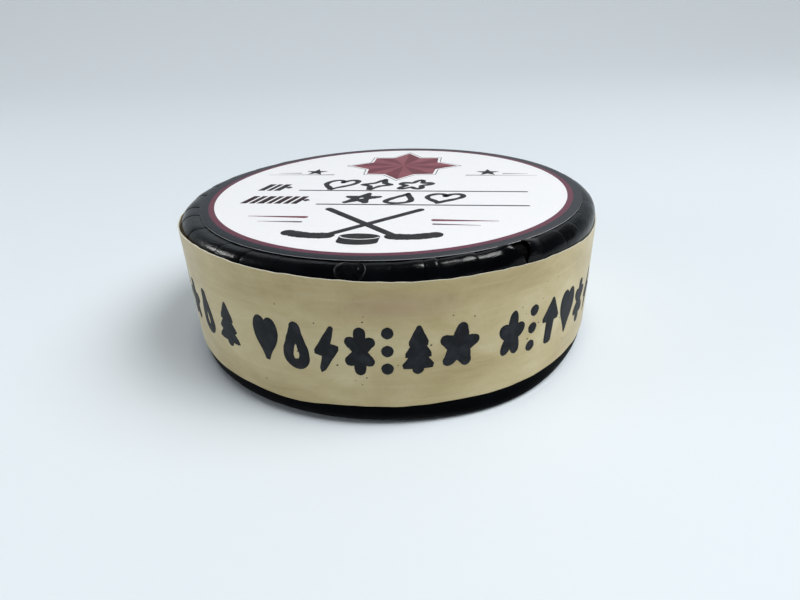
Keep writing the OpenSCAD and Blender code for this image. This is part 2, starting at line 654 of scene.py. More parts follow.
@dataclass(frozen=True)
class DiscSizes:
    """Sizes that the pieces share, read from the frame's boxes."""

    puck_r: float
    puck_low: float
    puck_high: float
    band_r: float
    label_r: float
    label_middle: tuple[float, float]
    label_z: float
    edge_r: float = 2.2

    @classmethod
    def from_frame(cls) -> "DiscSizes":
        """Reads the CAD nodes' boxes.

        Returns:
            The sizes, in millimetres.
        """
        core_low, core_high = node_box_mm("puck_core")
        band_low, _ = node_box_mm("side_band")
        label_low, label_high = node_box_mm("top_label")
        middle = (label_low + label_high) / 2.0
        return cls(puck_r=core_high[0], puck_low=core_low[2], puck_high=core_high[2], band_r=-band_low[0],
                   label_r=label_high[0] - middle[0], label_middle=(middle[0], middle[1]), label_z=label_high[2])


class Side(Enum):
    """Which flat face a folded margin lies on."""

    UPPER = "upper"
    LOWER = "lower"


# ---------------------------------------------------------------- rubber disc


@dataclass
class PuckCore:
    """The rubber disc is right as the CAD node has it, and only gets its finish."""

    finish: RubberFinish = RubberFinish()

    def dress(self) -> None:
        """Gives the CAD node its rubber."""
        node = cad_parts["puck_core"]
        node.data.materials.clear()
        node.data.materials.append(self.finish.make())
        LOG.info("puck_core: the CAD node with a rubber finish")


# ---------------------------------------------------------------- tape wrap


@dataclass(frozen=True)
class Notch:
    """A gap between two tabs that stands open: its direction, and its half width at the label."""

    seam_deg: float
    half_gap: float


@dataclass
class EdgeWrap:
    """One turn of tape round the disc, its margins cut into tabs and folded flat."""

    sizes: DiscSizes
    tape: bpy.types.Material
    # Tape of the lower margin: a copy with almost no shine, painted shade for the dark underside edge.
    lower_tape_painted_shade: bpy.types.Material
    thickness: float = 0.18
    fold_r: float = 27.4
    side_low: float = 4.4
    side_high: float = 22.3
    front_seams: tuple[float, ...] = (-149.0, -133.4, -124.6, -115.0, -103.5, -89.5, -82.5, -79.3, -70.4,
                                      -59.2, -45.4, -38.0, -30.0)
    front_lifts: tuple[float, ...] = (0.25, 0.35, 0.2, 0.2, 0.25, 0.5, 0.9, 0.9, 0.7, 0.5, 0.35, 0.2, 0.2)
    spare_tabs: int = 21
    spare_lifts: tuple[float, float] = (0.15, 0.45)
    lower_tabs: int = 30
    cut_wander_deg: float = 1.8
    open_notch: Notch = Notch(-59.2, 1.75)
    curl_mm: float = 0.5
    pleat_mm: float = 0.012
    pillow_mm: float = 0.13
    # The lower tabs stand out at the lower right front to thicken the black edge where a dark band lies along the
    # floor; that band is partly contact shadow, so the bulge is partly painted shade.
    shade_bulge_mm: float = 0.85
    shade_bulge_deg: float = -60.0
    shade_bulge_width_deg: float = 20.0
    shade_bulge_at: tuple[float, float] = (1.5, 1.0)
    pleats_at: tuple[float, float] = (1.6, 1.5)
    lower_pleats: float = 0.3

    def profile(self, s: Array) -> tuple[Array, Array, Array, Array]:
        """The disc's outline, from the side wall over the rounded edge to the flat face.

        The side is straight up to the edge's centre height, then comes a quarter circle of
        the edge radius, then the straight line inwards.

        Args:
            s: Distances along the outline from the fold's root on the side.

        Returns:
            Radius, height above the middle of the disc, and the outward normal's two parts.
        """
        edge = self.sizes.edge_r
        half_h = (self.sizes.puck_high - self.sizes.puck_low) / 2.0
        turn = np.clip((s - self.rise) / edge, 0.0, np.pi / 2.0)
        inwards = np.maximum(s - self.corner_end, 0.0)
        radius = self.sizes.puck_r - edge + edge * np.cos(turn) - inwards
        height = half_h - edge + edge * np.sin(turn) + np.minimum(s - self.rise, 0.0)
        return radius, height, np.cos(turn), np.sin(turn)

    @property
    def middle(self) -> float:
        """Height of the middle of the disc."""
        return (self.sizes.puck_low + self.sizes.puck_high) / 2.0

    @property
    def rise(self) -> float:
        """Length of the straight stretch between a tab's root and the rounded edge."""
        return self.sizes.puck_high - self.sizes.edge_r - self.side_high

    @property
    def corner_end(self) -> float:
        """Distance along the outline at which the flat face starts."""
        return self.rise + self.sizes.edge_r * np.pi / 2.0

    def seams(self, side: Side) -> Array:
        """Directions of the cuts between the tabs, in radians, all the way round.

        The front ones of the upper side are listed; the others are spaced evenly, each
        moved a little by chance.

        Args:
            side: The face that the margin lies on.

        Returns:
            The directions, going round anticlockwise.
        """
        rng = np.random.default_rng(7 if side is Side.UPPER else 11)
        wander = self.cut_wander_deg
        if side is Side.LOWER:
            even = np.arange(self.lower_tabs) * 360.0 / self.lower_tabs
            return np.radians(even + rng.uniform(-wander, wander, self.lower_tabs))
        first, last = self.front_seams[-1], self.front_seams[0] + 360.0
        step = (last - first) / (self.spare_tabs + 1)
        spare = first + step * np.arange(1, self.spare_tabs + 1) + rng.uniform(-wander, wander, self.spare_tabs)
        return np.radians(np.concatenate([self.front_seams, spare]))

    def tab(self, start: float, end: float, trims: tuple[float, float], lift: float, slit_from: float,
            side: Side, columns: int = 29, rows: int = 36) -> Shape:
        """One tab, as a closed thin sheet that keeps its width while the disc narrows under it.

        Its half angle at radius r is (root half width) / r, so it laps its neighbours more
        and more inwards. Its end side rises by a share of a thickness to lie on the next tab. Over
        the upper edge it stands puffed up by pillow * lift * (1 - (2u - 1)^6), so that the cuts show
        as grooves. Over the lower edge it stands out by bulge * exp(-(turn / width)^2), a thicker
        black edge at the lower right front that is partly painted shade for a contact shadow. Pleats
        and bulge fade along the outline by exp(-(t / width)^2), t measured from a place past the
        straight side.

        Args:
            start: Direction of its first cut, in radians.
            end: Direction of its second cut.
            trims: How far each edge is cut back at the label's rim, in millimetres.
            lift: Share of a thickness by which the second edge rises.
            slit_from: Distance along the outline at which the cuts begin.
            side: The face that it is folded onto.
            columns: Points across.
            rows: Points along.

        Returns:
            The tab, with its outer face turned outwards.
        """
        length = self.corner_end + (self.sizes.puck_r - self.sizes.edge_r - self.fold_r)
        s = np.linspace(0.0, 1.0, rows) ** 1.15 * length
        radius, height, normal_r, normal_z = self.profile(s)
        half = (end - start) / 2.0
        slit_r = np.minimum(radius, self.profile(np.array([slit_from]))[0])
        spare = half * (slit_r.max() - slit_r)
        opening = smoothstep(s, self.rise - 0.2, self.rise + 3.4)
        first = start - (spare - trims[0] * opening) / radius
        second = end + (spare - trims[1] * opening) / radius
        u = np.linspace(0.0, 1.0, columns)[:, None]
        angle = first + u * (second - first)
        rising = lift * smoothstep(u, 0.2, 0.95) * smoothstep(s, slit_from - 0.4, slit_from + 1.6)
        past, width = self.pleats_at
        pleats = self.pleat_mm * (self.lower_pleats if side is Side.LOWER else 1.0)
        pleats = pleats * np.exp(-((s - self.rise - past) / width) ** 2)
        puffed = (1.0 - (2.0 * u - 1.0) ** 6) * smoothstep(s, self.rise - 0.2, self.rise + 1.4)
        base = self.thickness * rising + pleats * (1.0 + ripple(angle, [23, 41, 67, 97, 131], 5)) / 2.0
        if side is Side.UPPER:
            base = base + self.pillow_mm * lift * puffed * (1.0 - smoothstep(s, self.corner_end, self.corner_end + 1.2))
        # Bulge of the lower tabs, partly painted shade for a contact shadow.
        if side is Side.LOWER:
            near = np.exp(-(turn_from(np.degrees(angle), self.shade_bulge_deg) / self.shade_bulge_width_deg) ** 2)
            past, width = self.shade_bulge_at
            base = base + self.shade_bulge_mm * near * np.exp(-(((s - self.rise - past) / width) ** 2))
        beside = (trims[0] > 0.0) * smoothstep(1.0 - u, 0.6, 1.0) + (trims[1] > 0.0) * smoothstep(u, 0.6, 1.0)
        base = base + self.curl_mm * beside * smoothstep(s, self.rise + 0.3, self.rise + 2.2) * (
            1.0 - smoothstep(s, self.rise + 3.0, self.rise + 5.0))
        grids = []
        for offset in (base + self.thickness, base):
            r = radius + normal_r * offset
            z = (height + normal_z * offset) * (1.0 if side is Side.UPPER else -1.0) + self.middle
            grids.append(around_axis(r, angle, z))
        uv = np.stack([angle * self.sizes.puck_r, np.broadcast_to(s, angle.shape)], -1)
        if side is Side.LOWER:
            grids = [g[::-1] for g in grids]
            uv = uv[::-1]
        return thick_sheet(grids[0], grids[1], uv)

    def margin(self, side: Side) -> Shape:
        """All the tabs of one folded margin.

        Args:
            side: The face that it lies on.

        Returns:
            The tabs, joined into one shape.
        """
        seams = self.seams(side)
        lifts = np.random.default_rng(23 if side is Side.UPPER else 29).uniform(*self.spare_lifts, len(seams))
        if side is Side.UPPER:
            lifts[:len(self.front_lifts)] = self.front_lifts
        slit_from = self.rise if side is Side.UPPER else self.corner_end
        notch = self.open_notch
        tabs = []
        for start, end, lift in zip(seams, np.append(seams[1:], seams[0] + 2.0 * np.pi), lifts):
            open_here = [side is Side.UPPER and np.isclose(np.degrees(edge), notch.seam_deg) for edge in (start, end)]
            gaps = (notch.half_gap * open_here[0], notch.half_gap * open_here[1])
            tabs.append(self.tab(start, end, gaps, lift, slit_from, side))
        return join_shapes(tabs)

    def wall(self) -> Shape:
        """The stretch round the side: a thin cylinder wall that the band hides.

        Returns:
            The wall, as a closed ring.
        """
        angle = np.linspace(0.0, 2.0 * np.pi, 240, endpoint=False)[:, None]
        z = np.linspace(self.side_low, self.side_high, 5)[None, :]
        grids = [around_axis(r, angle, z) for r in (self.sizes.puck_r + self.thickness, self.sizes.puck_r)]
        uv = np.stack(np.broadcast_arrays(angle * self.sizes.puck_r, z), -1)
        return thick_sheet(grids[0], grids[1], uv, closed=True)

    def build(self) -> None:
        """Makes the two folded margins and the wall between them."""
        for side, tape in ((Side.UPPER, self.tape), (Side.LOWER, self.lower_tape_painted_shade)):
            make_piece(f"wrap_{side.value}_tabs", self.margin(side), [tape], "edge_wrap")
        make_piece("wrap_side", self.wall(), [self.tape], "edge_wrap")


# ---------------------------------------------------------------- paper band


@dataclass(frozen=True)
class BandForm:
    """The paper band's outer face: nearly a cylinder, that stands off the wrap a little on the left."""

    radius: float
    bulge_mm: float = 0.12
    bulge_deg: float = -168.0
    bulge_width_deg: float = 30.0
    wobble_mm: float = 0.02

    def face_r(self, angle: Array) -> Array:
        """Its radius: a faint wobble, and a bulge of the form exp(-(turn / width)^2)."""
        off = turn_from(np.degrees(angle), self.bulge_deg) / self.bulge_width_deg
        return self.radius + self.wobble_mm * ripple(angle, [9, 21, 34], 6) + self.bulge_mm * np.exp(-(off ** 2))


@dataclass
class SideBand:
    """A strip of masking paper round the side, its end lapped over its start."""

    form: BandForm
    paper: bpy.types.Material
    # Finish of the cut edges: paler than the paper, partly the cut edge's own tone and partly a painted highlight along
    # the edges.
    cut_edge: bpy.types.Material
    thickness: float = 0.18
    lap_from_deg: float = 40.0
    lap_deg: float = 14.0
    low_edge: tuple[tuple[float, float], ...] = (
        (-180.0, 3.9), (-150.0, 3.9), (-128.0, 3.95), (-112.0, 3.55), (-104.0, 4.0), (-94.0, 4.08), (-89.0, 3.92),
        (-75.0, 3.93), (-62.0, 3.5), (-40.0, 3.6), (0.0, 3.9), (90.0, 4.05), (180.0, 3.9))
    high_edge: tuple[tuple[float, float], ...] = (
        (-180.0, 24.1), (-165.0, 24.5), (-150.0, 25.15), (-140.0, 25.4), (-130.0, 25.3), (-119.0, 25.1),
        (-110.0, 25.0), (-90.0, 24.45), (-79.0, 24.15), (-66.0, 24.1), (-55.0, 23.75), (-49.0, 23.65),
        (-39.0, 23.25), (-32.0, 22.9), (-25.0, 22.75), (0.0, 22.9), (40.0, 23.5), (120.0, 24.2), (180.0, 24.1))

    def strip(self, start_deg: float, turn_deg: float, lift: float, columns: int) -> Shape:
        """A stretch of the strip as a closed thin sheet.

        Both edges run through a few given heights, with a slight wobble.

        Args:
            start_deg: Direction of its start.
            turn_deg: How far it goes round.
            lift: How far it lies outside the band's form.
            columns: Points along it.

        Returns:
            The stretch, whose rims take the paler cut edge finish: the paper's cut edge, painted paler as a highlight
            along it.
        """
        closed = turn_deg >= 360.0
        angle = np.radians(start_deg + np.linspace(0.0, turn_deg, columns, endpoint=not closed))[:, None]
        degrees = turn_from(np.degrees(angle), 0.0)
        low_edge, high_edge = np.array(self.low_edge), np.array(self.high_edge)
        low = np.interp(degrees, low_edge[:, 0], low_edge[:, 1]) + 0.03 * ripple(angle, [17, 29, 53], 3)
        high = np.interp(degrees, high_edge[:, 0], high_edge[:, 1]) + 0.04 * ripple(angle, [13, 37, 61, 90], 4)
        across = np.linspace(0.0, 1.0, 15)[None, :]
        z = low + across * (high - low)
        face_r = self.form.face_r(angle) + lift
        grids = [around_axis(r, angle, z) for r in (face_r, face_r - self.thickness)]
        uv = np.stack(np.broadcast_arrays(angle * self.form.radius, z), -1)
        return thick_sheet(grids[0], grids[1], uv, closed, rim_finish=1)

    def build(self) -> None:
        """Makes the turn of paper and its lap."""
        turn = self.strip(self.lap_from_deg + self.lap_deg / 2.0, 360.0, 0.0, 720)
        lap = self.strip(self.lap_from_deg, self.lap_deg, self.thickness, 40)
        make_piece("paper_band", join_shapes([turn, lap]), [self.paper, self.cut_edge], "side_band")


# ---------------------------------------------------------------- label


class Zone(IntEnum):
    """Finish numbers of the label: its white middle and back, the ring round it, and the border."""

    WHITE = 0
    RING = 1
    BORDER = 2


@dataclass
class TopLabel:
    """The round paper label: white, with a dark red ring and a dark grey border."""

    sizes: DiscSizes
    finishes: list[bpy.types.Material]
    white_r: float = 32.95
    ring_r: float = 33.95
    lift: float = 0.04
    thickness: float = 0.08

    @property
    def face_z(self) -> float:
        """Height of the label's printed face."""
        return self.sizes.label_z + self.lift

    def build(self) -> None:
        """Makes the disc from rings whose radii are the print's borders.

        The rings turn the way that makes the middle-to-rim direction x the ring's direction
        point up, and the first and last points close the two faces.
        """
        label_r = self.sizes.label_r
        top = [8.0, 20.0, self.white_r, self.ring_r, label_r - 0.04]
        radii = np.array(top + [label_r, label_r, label_r - 2.0, 20.0])
        face, back = self.face_z, self.face_z - self.thickness
        heights = np.array([face] * len(top) + [face - 0.015, back, back, back])
        angle = np.linspace(0.0, 2.0 * np.pi, 256, endpoint=False)[None, :]
        x, y = self.sizes.label_middle
        rings = np.stack(np.broadcast_arrays(
            x + radii[:, None] * np.cos(angle), y + radii[:, None] * np.sin(angle), heights[:, None]), -1)
        shape = capped_tube(rings, np.array([x, y, face]), np.array([x, y, back]))
        zones = [Zone.WHITE, Zone.WHITE, Zone.RING, Zone.BORDER, Zone.BORDER, Zone.WHITE, Zone.WHITE, Zone.WHITE]
        shape.quad_finish = np.repeat(zones, rings.shape[1])
        make_piece("paper_label", shape, self.finishes, "top_label")


# ---------------------------------------------------------------- ink


class Lay:
    """Where flat artwork lies: turns artwork points (x, y, height) into places on the puck."""

    def place(self, points: Array) -> Array:
        """Places points, given and returned in millimetres."""
        raise NotImplementedError


@dataclass
class LabelLay(Lay):
    """Artwork on the label, turned about its middle."""

    middle: tuple[float, float]
    face_z: float
    turn_deg: float = -8.5
    shift: tuple[float, float] = (-0.35, -0.55)

    def place(self, points: Array) -> Array:
        """Turns the artwork, which was printed slightly off the label's middle, and lifts it onto the label.

        Args:
            points: Flat places and heights (..., 3), in millimetres.

        Returns:
            The same points on the label.
        """
        turn = np.radians(self.turn_deg)
        across, up = points[..., 0] + self.shift[0], points[..., 1] + self.shift[1]
        x = self.middle[0] + across * np.cos(turn) - up * np.sin(turn)
        y = self.middle[1] + across * np.sin(turn) + up * np.cos(turn)
        return np.stack([x, y, points[..., 2] + self.face_z], -1)


@dataclass
class BandLay(Lay):
    """Artwork wrapped round the band: x is the way round from the front, y is the height."""

    form: BandForm
    front_deg: float = -90.0

    def place(self, points: Array) -> Array:
        """Rolls the artwork onto the band's face.

        Args:
            points: Flat places and heights (..., 3), in millimetres.

        Returns:
            The same points on the band.
        """
        angle = np.radians(self.front_deg) + points[..., 0] / self.form.radius
        r = self.form.face_r(angle) + points[..., 2]
        return around_axis(r, angle, points[..., 1])


STROKE_SECTION = np.array([(1.0, 0.0), (0.93, 0.75), (0.7, 1.0), (0.0, 1.0), (-0.7, 1.0), (-0.93, 0.75),
                           (-1.0, 0.0), (-0.8, -1.0), (0.0, -1.0), (0.8, -1.0)])[::-1]


def evenly(path: Array, step: float) -> Array:
    """The same path with points a step apart, by straight lines between its own points.

    Args:
        path: Points (n, 2) of the path.
        step: Wanted distance from point to point, in millimetres.

    Returns:
        The new points (m, 2).
    """
    gaps = np.hypot(*np.diff(path, axis=0).T)
    along = np.concatenate([[0.0], np.cumsum(gaps)])
    wanted = np.linspace(0.0, along[-1], max(int(along[-1] / step), 2) + 1)
    return np.stack([np.interp(wanted, along, path[:, k]) for k in range(2)], -1)


def stroke(path: Array, half_width: float, lay: Lay, height: float = 0.03, taper: float = 0.0,
           wobble: float = 0.0, finish: int = 0, seed: int = 0) -> Shape:
    """A line of ink: a flat section carried along a path, with round ends.

    The section is wide and low. Past each end of the path it goes on for one half width w,
    and there its half width is w cos(b) at the distance w sin(b).

    Args:
        path: Points (n, 2) of its middle line in the artwork.
        half_width: Half its width.
        lay: Where the artwork lies.
        height: How far the ink stands out of the paper.
        taper: Share of its width that it loses towards its end.
        wobble: Share of its width by which its edges wander.
        finish: Finish number.
        seed: Chooses the wander.

    Returns:
        The line of ink in its place on the puck.
    """
    path = evenly(path, min(0.35, half_width))
    tangent = np.gradient(path, axis=0)
    tangent /= np.linalg.norm(tangent, axis=1, keepdims=True)
    share = np.linspace(0.0, 1.0, len(path))
    width = half_width * (1.0 - taper * share) * (1.0 + wobble * ripple(share * 6.0, [2, 5, 9], seed))
    bend = np.radians([75.0, 50.0, 25.0])
    ahead = path[0] - tangent[0] * width[0] * np.sin(bend)[:, None]
    behind = path[-1] + tangent[-1] * width[-1] * np.sin(bend[::-1])[:, None]
    path = np.concatenate([ahead, path, behind])
    tangent = np.concatenate([np.repeat(tangent[:1], 3, 0), tangent, np.repeat(tangent[-1:], 3, 0)])
    width = np.concatenate([width[0] * np.cos(bend), width, width[-1] * np.cos(bend[::-1])])
    normal = np.stack([-tangent[:, 1], tangent[:, 0]], -1)
    flat = path[:, None, :] + normal[:, None, :] * width[:, None, None] * STROKE_SECTION[None, :, :1]
    tall = np.broadcast_to(height * STROKE_SECTION[:, 1], flat.shape[:2])
    ends = [np.append(path[0] - tangent[0] * width[0] * 0.3, 0.0),
            np.append(path[-1] + tangent[-1] * width[-1] * 0.3, 0.0)]
    rings = np.concatenate([flat, tall[..., None]], -1)
    return capped_tube(lay.place(rings), lay.place(ends[0]), lay.place(ends[1]), finish)


def plate(outline: Array, middle: tuple[float, float], lay: Lay, height: float = 0.02,
          finish: int = 0, facets: tuple[int, int] | None = None) -> Shape:
    """A filled patch of ink: an outline seen whole from its middle, with a little height.

    Args:
        outline: Points (n, 2) going round anticlockwise.
        middle: A point from which every part of the outline is seen.
        lay: Where the artwork lies.
        height: How far the ink stands out of the paper.
        finish: Finish number of the rest.
        facets: Two finish numbers that the top's triangles take in turn.

    Returns:
        The patch of ink in its place on the puck.
    """
    count = len(outline)
    top = np.concatenate([outline, np.full((count, 1), height)], -1)
    foot = np.concatenate([outline, np.full((count, 1), -height)], -1)
    rings = lay.place(np.stack([top, foot]))
    shape = capped_tube(rings, lay.place(np.array([*middle, height])), lay.place(np.array([*middle, -height])),
                        finish)
    if facets is not None:
        shape.tri_finish[:count] = np.where(np.arange(count) % 2, facets[0], facets[1])
    return shape


def arc(middle: tuple[float, float], radii: tuple[float, float], start_deg: float, end_deg: float,
        count: int = 24) -> Array:
    """Points of an ellipse's arc."""
    t = np.radians(np.linspace(start_deg, end_deg, count))
    return np.stack([middle[0] + radii[0] * np.cos(t), middle[1] + radii[1] * np.sin(t)], -1)


def star_outline(middle: tuple[float, float], radii: tuple[float, ...], inner: float, start_deg: float) -> Array:
    """A star's outline: its points reach the given radii in turn, with inner corners between.

    Args:
        middle: Middle of the star.
        radii: How far each point reaches, in turn.
        inner: Radius of the corners between them.
        start_deg: Direction of the first point.

    Returns:
        The outline (n, 2), going round anticlockwise.
    """
    count = 2 * len(radii)
    t = np.radians(start_deg) + np.arange(count) * 2.0 * np.pi / count
    r = np.full(count, inner)
    r[::2] = radii
    return np.stack([middle[0] + r * np.cos(t), middle[1] + r * np.sin(t)], -1)


@dataclass(frozen=True)
class Mark:
    """One mark of a drawing that fills -1 to 1: a line, or an outline whose inside is inked too.

    Args:
        path: Points (n, 2) of the line, or of the outline going round anticlockwise.
        filled: Whether the inside is inked.
        middle: A point from which the whole outline is seen.
    """

    path: Array
    filled: bool = False
    middle: tuple[float, float] = (0.0, 0.0)


def line_mark(*points: tuple[float, float]) -> Mark:
    """A line from point to point."""
    return Mark(np.array(points))


def solid_mark(*points: tuple[float, float], middle: tuple[float, float] = (0.0, 0.0)) -> Mark:
    """A filled outline through the given corners, closed."""
    return Mark(np.array([*points, points[0]]), True, middle)


def flash() -> list[Mark]:
    """A lightning flash."""
    return [solid_mark((0.45, 1.0), (-0.9, -0.15), (-0.14, -0.22), (-0.45, -1.0), (0.9, 0.15), (0.14, 0.22))]


def tree() -> list[Mark]:
    """A fir: three triangles one above the other, and a trunk.

    Returns:
        Its marks.
    """
    layers = ((1.0, 0.28, 0.55), (0.5, -0.25, 0.8), (0.0, -0.75, 1.0))
    marks = [solid_mark((0.0, top), (-half, low), (half, low), middle=(0.0, (top + 2.0 * low) / 3.0))
             for top, low, half in layers]
    return marks + [line_mark((0.0, -0.75), (0.0, -1.0))]


def snow_star() -> list[Mark]:
    """Three strokes that cross in the middle."""
    turns = np.radians([90.0, 30.0, 150.0])
    return [line_mark((np.cos(t), np.sin(t)), (-np.cos(t), -np.sin(t))) for t in turns]


def up_arrow() -> list[Mark]:
    """A broad arrow that points up."""
    return [solid_mark((0.0, 1.0), (-1.0, 0.1), (-0.36, 0.1), (-0.3, -1.0), (0.3, -1.0), (0.36, 0.1), (1.0, 0.1),
                       middle=(0.0, 0.35))]


def dots() -> list[Mark]:
    """Three blots, one above the other."""
    return [line_mark((0.0, y), (0.05, y + 0.04)) for y in (-0.95, 0.0, 0.95)]


def sparkle() -> list[Mark]:
    """A star with four long points."""
    return [solid_mark((0.0, 1.0), (-0.34, 0.3), (-1.0, 0.0), (-0.34, -0.3), (0.0, -1.0), (0.34, -0.3), (1.0, 0.0),
                       (0.34, 0.3))]


def drop() -> list[Mark]:
    """A falling drop: x = 1.3 sin t sin(t / 2)^2, y = cos t."""
    t = np.linspace(0.0, 2.0 * np.pi, 60)
    return [Mark(np.stack([1.3 * np.sin(t) * np.sin(t / 2.0) ** 2, np.cos(t)], -1))]


def heart() -> list[Mark]:
    """A heart: x = sin(t)^3, y = 13 cos t - 5 cos 2t - 2 cos 3t - cos 4t, brought to -1 to 1.

    Returns:
        Its one filled mark.
    """
    t = np.linspace(2.0 * np.pi, 0.0, 60)
    y = (13.0 * np.cos(t) - 5.0 * np.cos(2.0 * t) - 2.0 * np.cos(3.0 * t) - np.cos(4.0 * t)) / 14.5 + 0.17
    return [Mark(np.stack([np.sin(t) ** 3, y], -1), True)]


def blossom() -> list[Mark]:
    """Five petals: r = 0.74 + 0.26 cos 5t.

    Returns:
        Its one filled mark.
    """
    t = np.linspace(0.0, 2.0 * np.pi, 80) + np.pi / 2.0
    r = 0.74 + 0.26 * np.cos(5.0 * (t - np.pi / 2.0))
    return [Mark(np.stack([r * np.cos(t), r * np.sin(t)], -1), True)]


def five_star() -> list[Mark]:
    """A five-pointed star, drawn without lifting the pen.

    Returns:
        Its five lines.
    """
    turns = np.radians(90.0 + 144.0 * np.arange(6))
    corners = np.stack([np.cos(turns), 0.95 * np.sin(turns)], -1)
    return [Mark(corners[k:k + 2]) for k in range(5)]


class Ink(IntEnum):
    """Finish numbers of the label's print, in the order of its materials."""

    RED = 0
    RED_LIGHT = 1
    DARK = 2
    GREY = 3
    PEN = 4
    WHITE = 5
    DARK_RED = 6


@dataclass
class LabelPrint:
    """The label's artwork: an emblem, stars, rules, rows of blocks, pen sketches, sticks and a puck.

    Places are in the label's own upright frame, with its middle at 0, 0.
    """

    lay: Lay
    finishes: list[bpy.types.Material]
    emblem_middle: tuple[float, float] = (0.7, 18.0)
    emblem_points: tuple[float, ...] = (11.8, 10.3, 12.1, 10.3, 11.8, 9.9, 11.4, 9.9)
    emblem_inner: float = 7.9
    star_places: tuple[tuple[float, float], ...] = ((-17.7, 12.4), (19.1, 12.2))
    sketches: tuple[tuple[Callable[[], list[Mark]], tuple[float, float], tuple[float, float]], ...] = (
        (heart, (-10.4, 2.3), (3.0, 3.4)), (sparkle, (-2.6, 2.6), (2.9, 3.6)), (blossom, (4.9, 2.5), (3.2, 3.3)),
        (five_star, (-4.0, -6.6), (3.0, 3.1)), (drop, (3.4, -6.5), (2.6, 2.9)), (heart, (10.9, -6.4), (3.2, 2.8)),
    )

    def emblem(self) -> list[Shape]:
        """A faceted eight-pointed star with a thin grey line round it.

        Returns:
            The shapes, each with its finish number.
        """
        outline = star_outline(self.emblem_middle, self.emblem_points, self.emblem_inner, 0.0)
        middle = np.array(self.emblem_middle)
        body = plate(outline, self.emblem_middle, self.lay, 0.02, Ink.RED, (Ink.RED, Ink.RED_LIGHT))
        around = middle + (outline - middle) * 1.085
        around = np.concatenate([around, around[:1]])
        sides = [stroke(around[k:k + 2], 0.09, self.lay, 0.012, finish=Ink.GREY) for k in range(len(outline))]
        return [body, *sides]

    def stars_and_rules(self) -> list[Shape]:
        """Two small stars, each on a rule that thins out to both sides.

        Returns:
            The shapes, each with its finish number.
        """
        shapes = []
        for sign, (x, y) in zip((-1.0, 1.0), self.star_places):
            outline = star_outline((x, y), (2.5,) * 5, 1.02, 90.0)
            shapes.append(plate(outline, (x, y), self.lay, 0.02, Ink.DARK))
            for start, end, level in ((3.2, 8.1, -1.0), (-4.3, 9.9, -2.3)):
                line = np.array([(x + sign * start, y + level), (x + sign * end, y + level - 0.1)])
                shapes.append(stroke(line, 0.22, self.lay, 0.014, taper=0.8, finish=Ink.GREY))
        return shapes

    def block_row(self, left: float, low: float, widths: tuple[float, ...], finish: int) -> list[Shape]:
        """Slanted blocks in a row that stand for a word, with a small diamond after them.

        Args:
            left: Left end of the row.
            low: Foot of the row.
            widths: Width of each block.
            finish: Finish number of the ink.

        Returns:
            The shapes, each with its finish number.
        """
        tall, slant, gap = 4.5, 1.1, 0.5
        shapes = []
        for width in widths:
            block = np.array([(left, low), (left + width, low), (left + width + slant, low + tall),
                              (left + slant, low + tall)])
            shapes.append(plate(block, (left + (width + slant) / 2.0, low + tall / 2.0), self.lay, 0.02, finish))
            left += width + gap
        middle = (left + 0.7, low + tall / 2.0)
        diamond = star_outline(middle, (0.75, 0.75), 0.75, 0.0)
        return [*shapes, plate(diamond, middle, self.lay, 0.02, finish)]

    def rows(self) -> list[Shape]:
        """The two rows of blocks and the ruled line after each.

        Returns:
            The shapes, each with its finish number.
        """
        shapes = self.block_row(-25.7, -2.0, (1.3, 0.9, 1.3), Ink.DARK)
        shapes += self.block_row(-26.0, -10.2, (1.2, 1.0, 1.3, 0.9, 1.2, 1.0, 1.1), Ink.DARK_RED)
        shapes.append(stroke(np.array([(-17.2, -1.6), (26.0, -1.9)]), 0.27, self.lay, 0.014, finish=Ink.DARK))
        shapes.append(stroke(np.array([(-11.4, -10.3), (25.7, -10.3)]), 0.27, self.lay, 0.014, finish=Ink.DARK))
        return shapes

    def pen_sketches(self) -> list[Shape]:
        """Small outlined drawings in pen, leaning to the right, in two rows.

        Returns:
            The shapes, each with its finish number.
        """
        shapes = []
        for number, (draw, middle, size) in enumerate(self.sketches):
            for k, mark in enumerate(draw()):
                x, y = mark.path[:, 0] * size[0], mark.path[:, 1] * size[1]
                path = np.stack([x + 0.3 * y, y], -1) + middle
                shapes.append(stroke(path, 0.56, self.lay, 0.03 + 0.003 * k, wobble=0.12, finish=Ink.PEN,
                                     seed=7 * number + k))
        return shapes

    def accents(self) -> list[Shape]:
        """Short lines that thin out towards the label's rim.

        Returns:
            The shapes, each with its finish number.
        """
        lines = (((-11.5, -17.4), (-21.5, -17.2), Ink.RED), ((-11.6, -19.8), (-19.0, -19.7), Ink.GREY),
                 ((10.2, -18.2), (20.4, -18.3), Ink.RED), ((10.3, -20.1), (17.6, -20.4), Ink.GREY))
        return [stroke(np.array([start, end]), 0.5 if finish == Ink.RED else 0.3, self.lay, 0.014,
                       taper=0.8, finish=finish) for start, end, finish in lines]

    def sticks(self) -> list[Shape]:
        """Two crossed sticks, each a straight handle and a blade with a curved toe.

        Returns:
            The shapes, each with its finish number.
        """
        shapes = []
        for sign, level in ((-1.0, 0.02), (1.0, 0.026)):
            x, y = np.array([-8.0 * sign, 5.2 * sign]), np.array([-13.0, -25.5])
            handle = np.stack([x, y], -1) - (0.5, 0.0)
            shapes.append(stroke(handle, 0.68, self.lay, level, finish=Ink.DARK))
            t = np.linspace(0.0, 1.0, 16)
            blade = np.stack([-0.6 + sign * (5.0 + 6.5 * t), -25.8 - 0.5 * np.sin(np.pi * t) + 1.0 * t], -1)
            shapes.append(stroke(blade, 1.2, self.lay, level + 0.003, finish=Ink.DARK, wobble=0.06, seed=4))
        return shapes

